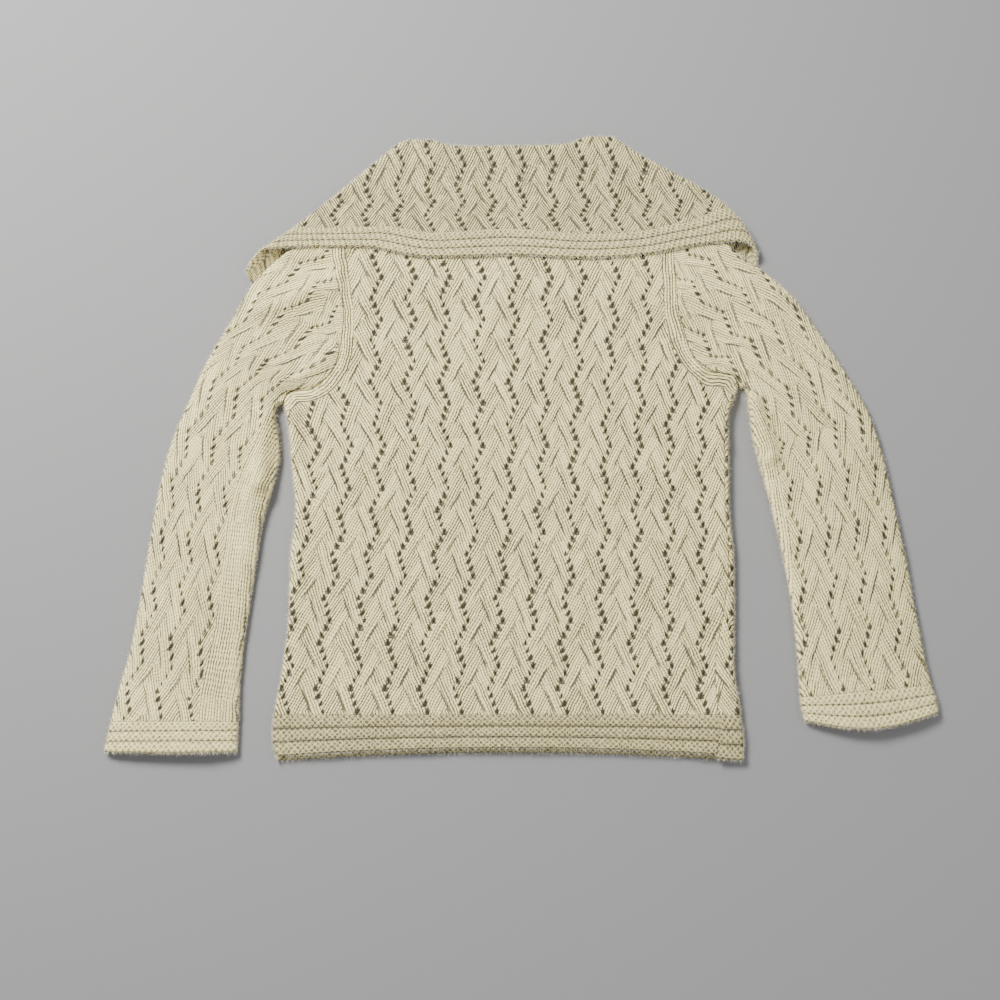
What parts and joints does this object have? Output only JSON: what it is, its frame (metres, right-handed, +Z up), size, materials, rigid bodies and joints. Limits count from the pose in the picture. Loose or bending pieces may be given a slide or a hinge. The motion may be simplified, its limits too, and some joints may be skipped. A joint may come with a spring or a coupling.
{
  "type": "pointelle lace cardigan with a wide fold-over collar, laid out back up",
  "caption": "Brushed lace-knit cardigan lying flat on its fronts, with a wide fold-over collar and garter-stitch borders.",
  "frame": {"origin": "middle of the outline, on the surface that the garment lies on", "axes": "+Z up, off the back of the garment; +Y from the hem towards the neck; +X across the back, towards the wearer's right sleeve as it lies"},
  "size_m": [0.805, 0.6428, 0.0147],
  "materials": {
    "lace_knit": "brushed cream wool, pointelle lace with eyelets",
    "garter_knit": "brushed cream wool, garter stitch in welts"
  },
  "bodies": {
    "root": {"back": "lace_knit", "front_left": "lace_knit", "front_right": "lace_knit", "hem_back": "garter_knit", "hem_front_left": "garter_knit", "hem_front_right": "garter_knit", "sleeve_left": "lace_knit", "cuff_left": "garter_knit", "sleeve_right": "lace_knit", "cuff_right": "garter_knit", "collar": "lace_knit", "collar_border": "garter_knit"}
  },
  "joints": []
}
